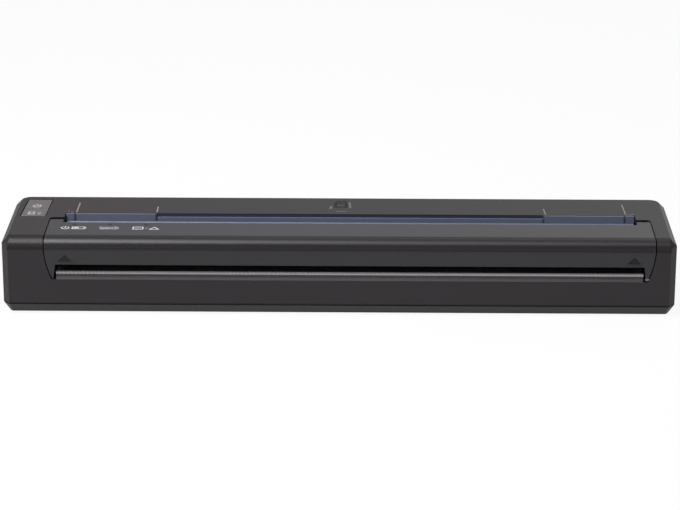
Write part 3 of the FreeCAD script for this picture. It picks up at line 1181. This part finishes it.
def make_head_heatsink():
    x = head_x()
    shapes = [box(x, (HEAD_FRONT_Y, HEAD_REAR_Y), (HEAD_LOW_Z, HEAD_TOP_Z))]
    for side in both_sides(HEAD_HALF - PIVOT_EAR_WIDTH, HEAD_HALF):
        shapes.append(box(side, (HEAD_REAR_Y, PIVOT_Y), (PIVOT_Z, PIVOT_Z + PIVOT_EAR_RADIUS)))
        shapes.append(rod_x(side, PIVOT, PIVOT_EAR_RADIUS))
    tools = []
    for side in both_sides(HEAD_HALF - PIVOT_EAR_WIDTH - OVERRUN, HEAD_HALF + OVERRUN):
        tools.append(rod_x(side, PIVOT, PIVOT_RADIUS + RUNNING_CLEARANCE))
    spring_edge = SPRING_SPACING * (SPRING_COUNT - 1) / 2 + SPRING_RADIUS + SPRING_WIRE
    count = int((HEAD_HALF - spring_edge) / FIN_PITCH)
    groove_y = (HEAD_FRONT_Y - OVERRUN, HEAD_REAR_Y - PIVOT_EAR_RADIUS)
    groove_z = (HEAD_LOW_Z - OVERRUN, HEAD_LOW_Z + FIN_DEPTH)
    for side in (-1, 1):
        for fin in range(count):
            x0 = PAPER_X + side * (spring_edge + FIN_PITCH / 2 + fin * FIN_PITCH)
            tools.append(box((x0 - FIN_GROOVE / 2, x0 + FIN_GROOVE / 2), groove_y, groove_z))
    return cut(fuse(shapes), tools)


def make_head_ceramic():
    return box(head_x(), (HEAD_FRONT_Y, CERAMIC_REAR_Y), (HEAD_TOP_Z, HEAD_TOP_Z + CERAMIC_THICK))


def make_head_ic_cover():
    half = HEAD_HALF - IC_END_INSET
    x = (PAPER_X - half, PAPER_X + half)
    outline = [(IC_FRONT_Y, HEAD_TOP_Z), (HEAD_REAR_Y, HEAD_TOP_Z), (HEAD_REAR_Y, HEAD_TOP_Z + IC_HEIGHT)]
    outline.append((IC_FRONT_Y + IC_HEIGHT, HEAD_TOP_Z + IC_HEIGHT))
    return plate_x(outline, x)


def make_head_socket():
    x = (PAPER_X - SOCKET_HALF, PAPER_X + SOCKET_HALF)
    return box(x, (SOCKET_FRONT_Y, SOCKET_REAR_Y), (HEAD_LOW_Z - SOCKET_HEIGHT, HEAD_LOW_Z))


def socket_middle_y():
    return (SOCKET_FRONT_Y + SOCKET_REAR_Y) / 2


def make_head_cable():
    half = SOCKET_HALF - CABLE_INSET
    x = (PAPER_X - half, PAPER_X + half)
    y = (socket_middle_y() - CABLE_THICK / 2, socket_middle_y() + CABLE_THICK / 2)
    return box(x, y, (BOARD_TOP_Z + CONNECTOR_HEIGHT, HEAD_LOW_Z - SOCKET_HEIGHT - CABLE_GAP))


def make_board_connector():
    x = (PAPER_X - SOCKET_HALF, PAPER_X + SOCKET_HALF)
    return box(x, (SOCKET_FRONT_Y, SOCKET_REAR_Y), (BOARD_TOP_Z, BOARD_TOP_Z + CONNECTOR_HEIGHT))


def make_head_pivot_pins():
    pins = []
    shank_inner = HEAD_HALF - PIVOT_EAR_WIDTH
    for shank in both_sides(shank_inner, CHASSIS_HALF):
        pins.append(rod_x(shank, PIVOT, PIVOT_RADIUS))
    for index, rim in enumerate(both_sides(CHASSIS_HALF, CHASSIS_HALF + PIVOT_HEAD)):
        pins[index] = fuse([pins[index], rod_x(rim, PIVOT, PIVOT_HEAD_RADIUS)])
    return group(pins)


def make_head_springs():
    low = CHASSIS_Z + CHASSIS_THICK + SPRING_WIRE
    height = HEAD_LOW_Z - low - SPRING_WIRE
    springs = []
    for index in range(SPRING_COUNT):
        x = PAPER_X + (index - (SPRING_COUNT - 1) / 2) * SPRING_SPACING
        helix = Part.makeHelix(SPRING_PITCH, height, SPRING_RADIUS)
        section = Part.Wire(Part.makeCircle(SPRING_WIRE, V(SPRING_RADIUS, 0, 0), V(0, 1, 0)))
        coil = Part.Wire(helix.Edges).makePipeShell([section], True, True)
        coil.translate(V(x, SPRING_Y, low))
        springs.append(coil)
    return group(springs)


def make_catch_springs():
    y = CHASSIS_SIDE_FRONT_Y
    strip = [(y, LEAF_LOW_Z), (y, CHASSIS_SIDE_TOP_Z), (y - LEAF_LEAN, LEAF_TOP_Z)]
    strip += [(y - LEAF_LEAN - LEAF_THICK, LEAF_TOP_Z), (y - LEAF_THICK, LEAF_BEND_Z)]
    strip.append((y - LEAF_THICK, LEAF_LOW_Z))
    return group([plate_x(strip, x) for x in both_sides(CHASSIS_INNER, CHASSIS_HALF)])


def make_cover_switch():
    x = right(CHASSIS_HALF, CHASSIS_HALF + COVER_SWITCH_WIDTH)
    y = (COVER_SWITCH_FRONT_Y, COVER_SWITCH_REAR_Y)
    case = box(x, y, (COVER_SWITCH_LOW_Z, COVER_SWITCH_TOP_Z))
    lift = COVER_SWITCH_TOP_Z + COVER_SWITCH_LIFT
    foot_y = y[1] - 2 * COVER_SWITCH_LEVER
    lever = [(y[1], COVER_SWITCH_TOP_Z), (y[1], COVER_SWITCH_TOP_Z + COVER_SWITCH_LEVER)]
    lever += [(y[0], lift + COVER_SWITCH_LEVER), (y[0], lift), (foot_y, COVER_SWITCH_TOP_Z)]
    return fuse([case, plate_x(lever, x)])


def make_main_board():
    x = (PAPER_X - BOARD_HALF, PAPER_X + BOARD_HALF)
    return box(x, (BOARD_FRONT_Y, BOARD_REAR_Y), (BOARD_Z, BOARD_TOP_Z))


def make_board_chips():
    chips = []
    z = (BOARD_TOP_Z, BOARD_TOP_Z + CHIP_HEIGHT)
    for side in (-1, 1):
        for index in range(CHIP_COUNT // 2):
            x = PAPER_X + side * (index + 1) * CHIP_SPACING
            y = (CHIP_Y - CHIP_SIZE / 2, CHIP_Y + CHIP_SIZE / 2)
            chips.append(box((x - CHIP_SIZE / 2, x + CHIP_SIZE / 2), y, z))
    return group(chips)


def make_io_board():
    x = (IO_BOARD_X, RIGHT_IN_X - IO_BOARD_END_GAP)
    return box(x, (IO_BOARD_FRONT_Y, IO_BOARD_REAR_Y), (IO_BOARD_Z, IO_BOARD_Z + BOARD_THICK))


def make_dc_jack():
    z0 = IO_BOARD_Z + BOARD_THICK
    front = RIGHT_IN_X
    case_y = (JACK_FRONT_Y, JACK_FRONT_Y + JACK_WIDTH)
    case = box((front - JACK_LENGTH, front), case_y, (z0, z0 + JACK_HEIGHT))
    bore = rod_x((front - JACK_BORE_DEPTH, front + OVERRUN), jack_place(), JACK_BORE_RADIUS)
    pin_x = (front - JACK_BORE_DEPTH - WALL / 2, front - JACK_PIN_SET_BACK)
    pin = rod_x(pin_x, jack_place(), JACK_PIN_RADIUS)
    return fuse([cut(case, [bore]), pin])


def make_usb_socket():
    z0 = IO_BOARD_Z + BOARD_THICK
    front = RIGHT_X - USB_FLUSH
    y = (USB_FRONT_Y, USB_FRONT_Y + USB_WIDTH)
    shell = box((front - USB_LENGTH, front), y, (z0, z0 + USB_HEIGHT))
    inner_y = (y[0] + USB_SHELL, y[1] - USB_SHELL)
    inner_z = (z0 + USB_SHELL, z0 + USB_HEIGHT - USB_SHELL)
    hollow = box((front - USB_LENGTH + USB_SHELL, front + OVERRUN), inner_y, inner_z)
    middle = z0 + USB_HEIGHT / 2
    tongue_y = (y[0] + USB_TONGUE_INSET, y[1] - USB_TONGUE_INSET)
    tongue_z = (middle - USB_TONGUE / 2, middle + USB_TONGUE / 2)
    tongue = box((front - USB_LENGTH, front - USB_FLUSH), tongue_y, tongue_z)
    return fuse([cut(shell, [hollow]), tongue])


def battery_round():
    return min(BATTERY_ROUND, (BATTERY_REAR_Y - BATTERY_FRONT_Y) * BATTERY_ROUND_LIMIT_SHARE)


def make_battery_pack():
    z0 = BOARD_Z
    y = (BATTERY_FRONT_Y, BATTERY_REAR_Y)
    block = box((BATTERY_LEFT_X, BATTERY_RIGHT_X), y, (z0, z0 + BATTERY_HEIGHT))
    long_edges = [e for e in block.Edges if e.Length > BATTERY_HEIGHT * 2]
    block = block.makeFillet(battery_round(), long_edges)
    middle = ((y[0] + y[1]) / 2, z0 + BATTERY_HEIGHT / 2)
    cell = (BATTERY_RIGHT_X - BATTERY_LEFT_X) / BATTERY_CELLS
    tools = []
    for index in range(1, BATTERY_CELLS):
        x = BATTERY_LEFT_X + index * cell
        groove_x = (x - BATTERY_CELL_GROOVE / 2, x + BATTERY_CELL_GROOVE / 2)
        core = rod_x(groove_x, middle, BATTERY_HEIGHT / 2 - BATTERY_CELL_GROOVE)
        ring = box(groove_x, (y[0] - OVERRUN, y[1] + OVERRUN), (z0, z0 + 2 * BATTERY_HEIGHT))
        tools.append(cut(ring, [core]))
    return cut(block, tools)


def make_battery_pad():
    x = (BATTERY_LEFT_X + BATTERY_PAD_INSET, BATTERY_RIGHT_X - BATTERY_PAD_INSET)
    middle = (BATTERY_FRONT_Y + BATTERY_REAR_Y) / 2
    half = (BATTERY_REAR_Y - BATTERY_FRONT_Y) * BATTERY_PAD_SHARE / 2
    return box(x, (middle - half, middle + half), (FLOOR_Z, BOARD_Z))


def lead(run_x, run_y, rise_x, rise_y):
    """A flat lead that lies on the board and rises up the face it is soldered to."""
    run = box(run_x, run_y, (BOARD_TOP_Z, BOARD_TOP_Z + LEAD_THICK))
    rise = box(rise_x, rise_y, (BOARD_TOP_Z, MOTOR[1] - MOTOR_RADIUS + LEAD_RISE))
    return fuse([run, rise])


def make_motor_lead():
    face_x = PAPER_X - PARTITION_IN + MOTOR_FLANGE + MOTOR_LENGTH
    x = (face_x, face_x + LEAD_WIDTH)
    y = (BOARD_REAR_Y - LEAD_OVERLAP, MOTOR_Y + LEAD_WIDTH / 2)
    return lead(x, y, (face_x, face_x + LEAD_THICK), (y[1] - LEAD_WIDTH, y[1]))


def make_battery_lead():
    x = (BATTERY_LEAD_X, BATTERY_LEAD_X + LEAD_WIDTH)
    y = (BOARD_REAR_Y - LEAD_OVERLAP, BATTERY_FRONT_Y)
    return lead(x, y, x, (BATTERY_FRONT_Y - LEAD_THICK, BATTERY_FRONT_Y))


def button_spans():
    half = BUTTON_SPLIT_GAP / 2
    return {
        "feed": (BUTTON_FRONT_Y, BUTTON_SPLIT_Y - half),
        "power": (BUTTON_SPLIT_Y + half, BUTTON_REAR_Y),
    }


def switch_place(name):
    y = button_spans()[name]
    return ((BUTTON_LEFT_X + BUTTON_RIGHT_X) / 2, (y[0] + y[1]) / 2)


def make_button(name):
    y = button_spans()[name]
    low = ROOF_Z - BUTTON_FLANGE_GAP - BUTTON_FLANGE_THICK
    cap = key_prism(y, (low, HEIGHT), 0, 0)
    outer_y = (y[0] - BUTTON_FLANGE, y[1]) if name == "feed" else (y[0], y[1] + BUTTON_FLANGE)
    return fuse([cap, key_prism(outer_y, (low, low + BUTTON_FLANGE_THICK), BUTTON_FLANGE, 0)])


def switch_base_z():
    return BUTTON_BOARD_Z + BUTTON_BOARD_THICK


def make_switch_stem(name):
    low = switch_base_z() + SWITCH_FLOOR + BUTTON_TRAVEL + SWITCH_STEM_CLEARANCE
    top = ROOF_Z - BUTTON_FLANGE_GAP - BUTTON_FLANGE_THICK
    return rod_z(switch_place(name), (low, top), SWITCH_STEM_RADIUS)


def make_switch_housings():
    cases = []
    z0 = switch_base_z()
    half = SWITCH_SIZE / 2
    for name in button_spans():
        x, y = switch_place(name)
        case = box((x - half, x + half), (y - half, y + half), (z0, z0 + SWITCH_HEIGHT))
        bore_z = (z0 + SWITCH_FLOOR, z0 + SWITCH_HEIGHT + OVERRUN)
        bore = rod_z((x, y), bore_z, SWITCH_STEM_RADIUS + SWITCH_STEM_CLEARANCE)
        cases.append(cut(case, [bore]))
    return group(cases)


def make_button_board():
    y = (BUTTON_BOARD_FRONT_Y, BUTTON_BOARD_REAR_Y)
    return box((BUTTON_BOARD_LEFT_X, BUTTON_BOARD_RIGHT_X), y, (BUTTON_BOARD_Z, switch_base_z()))


NODES = {
    "main_housing": make_main_housing,
    "bottom_cover": make_bottom_cover,
    "rubber_feet": make_rubber_feet,
    "case_screws": make_case_screws,
    "release_cover": make_release_cover,
    "cover_hinge_pins": make_cover_hinge_pins,
    "led_lenses": make_led_lenses,
    "led_strip": make_led_strip,
    "feed_guide": make_feed_guide,
    "paper_sensor": make_paper_sensor,
    "exit_guide": make_exit_guide,
    "tear_bar": make_tear_bar,
    "platen_shaft": make_platen_shaft,
    "platen_rubber": make_platen_rubber,
    "platen_clips": make_platen_clips,
    "platen_bushes": make_platen_bushes,
    "platen_carrier": make_platen_carrier,
    "carrier_screws": make_carrier_screws,
    "platen_gear": make_platen_gear,
    "transfer_drive_gear": make_transfer_drive_gear,
    "transfer_gear": make_transfer_gear,
    "transfer_shaft": make_transfer_shaft,
    "reduction_gear": make_reduction_gear,
    "reduction_gear_axle": make_reduction_gear_axle,
    "motor_pinion": make_motor_pinion,
    "motor_shaft": make_motor_shaft,
    "stepper_motor": make_stepper_motor,
    "motor_screws": make_motor_screws,
    "motor_lead": make_motor_lead,
    "chassis": make_chassis,
    "chassis_screws": make_chassis_screws,
    "catch_springs": make_catch_springs,
    "cover_switch": make_cover_switch,
    "head_heatsink": make_head_heatsink,
    "head_ceramic": make_head_ceramic,
    "head_ic_cover": make_head_ic_cover,
    "head_socket": make_head_socket,
    "head_cable": make_head_cable,
    "head_pivot_pins": make_head_pivot_pins,
    "head_springs": make_head_springs,
    "main_board": make_main_board,
    "board_chips": make_board_chips,
    "board_connector": make_board_connector,
    "io_board": make_io_board,
    "dc_jack": make_dc_jack,
    "usb_socket": make_usb_socket,
    "battery_pack": make_battery_pack,
    "battery_pad": make_battery_pad,
    "battery_lead": make_battery_lead,
    "button_board": make_button_board,
    "switch_housings": make_switch_housings,
    "power_button": lambda: make_button("power"),
    "feed_button": lambda: make_button("feed"),
    "power_switch_stem": lambda: make_switch_stem("power"),
    "feed_switch_stem": lambda: make_switch_stem("feed"),
}

os.makedirs("parts", exist_ok=True)
for node, make in NODES.items():
    save(make(), node)
